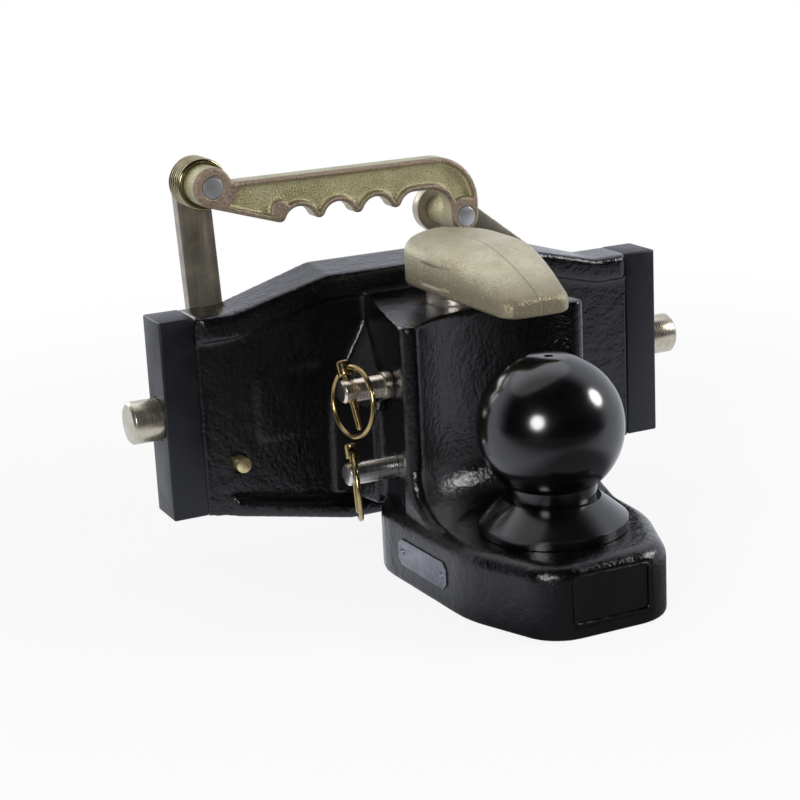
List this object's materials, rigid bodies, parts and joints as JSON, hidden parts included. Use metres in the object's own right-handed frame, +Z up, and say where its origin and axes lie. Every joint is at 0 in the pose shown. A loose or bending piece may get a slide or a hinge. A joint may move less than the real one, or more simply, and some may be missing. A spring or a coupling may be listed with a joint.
{
  "type": "tractor ball coupling",
  "caption": "Ball coupling on a hitch-rail carriage, with a hold-down over the ball and a handle that draws both locking bolts in.",
  "frame": {"origin": "middle of the common axis of the two locking bolts, where the hitch rails hold the carriage", "axes": "+X along the bolts to the right seen from the ball side, +Y towards the tractor, +Z up along the rails"},
  "size_m": [0.3656, 0.2529, 0.237],
  "materials": {
    "black_paint": "glossy black paint over a cast surface",
    "ball_black": "very glossy smooth black",
    "hold_down_zinc": "pale yellow zinc plating",
    "handle_zinc": "olive-gold zinc plating on a casting",
    "lever_zinc": "grey zinc plating, brushed",
    "bolt_zinc": "pale yellow-grey zinc plating",
    "pin_zinc": "zinc plated, turned",
    "pin_steel": "plain turned steel",
    "gold_wire": "yellow zinc plating, shiny",
    "spring_steel": "yellowed spring steel"
  },
  "bodies": {
    "carriage": {"carriage_body": "black_paint", "coupling_ball": "ball_black", "ball_washer": "pin_steel", "ball_nut": "pin_steel", "upper_clevis_pin": "pin_zinc", "lower_clevis_pin": "pin_steel", "upper_linch_pin": "gold_wire", "lower_linch_pin": "gold_wire", "left_pivot_pin": "bolt_zinc", "right_pivot_pin": "bolt_zinc", "left_pivot_clip": "spring_steel", "right_pivot_clip": "spring_steel", "left_bolt_spring": "spring_steel", "right_bolt_spring": "spring_steel"},
    "left_lever": {"left_lever": "lever_zinc", "left_drive_pin": "pin_zinc", "handle_left_pin": "pin_steel", "handle_left_clip": "spring_steel", "handle_spring": "spring_steel"},
    "handle": {"handle_grip": "handle_zinc", "handle_right_pin": "pin_steel"},
    "right_lever": {"right_lever": "lever_zinc", "right_drive_pin": "pin_zinc", "handle_right_stud": "pin_steel", "handle_right_clip": "spring_steel"},
    "left_bolt": {"left_lock_bolt": "bolt_zinc"},
    "right_bolt": {"right_lock_bolt": "bolt_zinc"},
    "hold_down": {"hold_down": "hold_down_zinc"},
    "upper_ring": {"upper_linch_ring": "gold_wire"},
    "lower_ring": {"lower_linch_ring": "gold_wire"}
  },
  "joints": [
    {"name": "left_lever_swing", "type": "hinge", "parent": "carriage", "child": "left_lever", "pos_m": [-0.1215, 0, -0.0308], "axis": [0, 1, 0], "range_deg": [0, 37.2], "stiffness_Nm_per_rad": 1.5},
    {"name": "handle_fold", "type": "hinge", "parent": "left_lever", "child": "handle", "pos_m": [-0.1285, 0, 0.1324], "axis": [0, -1, 0], "range_deg": [0, 63.7]},
    {"name": "right_lever_swing", "type": "hinge", "parent": "carriage", "child": "right_lever", "pos_m": [0.1215, 0, 0.0242], "axis": [0, 1, 0], "range_deg": [0, 54.9]},
    {"name": "left_bolt_slide", "type": "slide", "parent": "carriage", "child": "left_bolt", "axis": [1, 0, 0], "range_m": [0, 0.0189], "deforming": ["left_bolt_spring"]},
    {"name": "right_bolt_slide", "type": "slide", "parent": "carriage", "child": "right_bolt", "axis": [-1, 0, 0], "range_m": [0, 0.0198], "deforming": ["right_bolt_spring"]},
    {"name": "hold_down_swivel", "type": "hinge", "parent": "carriage", "child": "hold_down", "pos_m": [0, -0.0635, 0], "axis": [0, 0, 1], "range_deg": [-95, 95]},
    {"name": "upper_ring_flip", "type": "hinge", "parent": "carriage", "child": "upper_ring", "pos_m": [-0.078, -0.0728, 0.03164], "axis": [-0.2079, 0.8384, -0.5038], "range_deg": [0, 165], "stiffness_Nm_per_rad": 0.004},
    {"name": "lower_ring_flip", "type": "hinge", "parent": "carriage", "child": "lower_ring", "pos_m": [-0.078, -0.07702, -0.01474], "axis": [0.342, 0.9224, -0.1793], "range_deg": [0, 165], "stiffness_Nm_per_rad": 0.004}
  ],
  "couplings": [
    {"joint": "handle_fold", "follows": "left_lever_swing", "ratio": 1.7105},
    {"joint": "right_lever_swing", "follows": "left_lever_swing", "ratio": 1.4734},
    {"joint": "left_bolt_slide", "follows": "left_lever_swing", "m_per_rad": 0.029064},
    {"joint": "right_bolt_slide", "follows": "left_lever_swing", "m_per_rad": 0.030465}
  ]
}
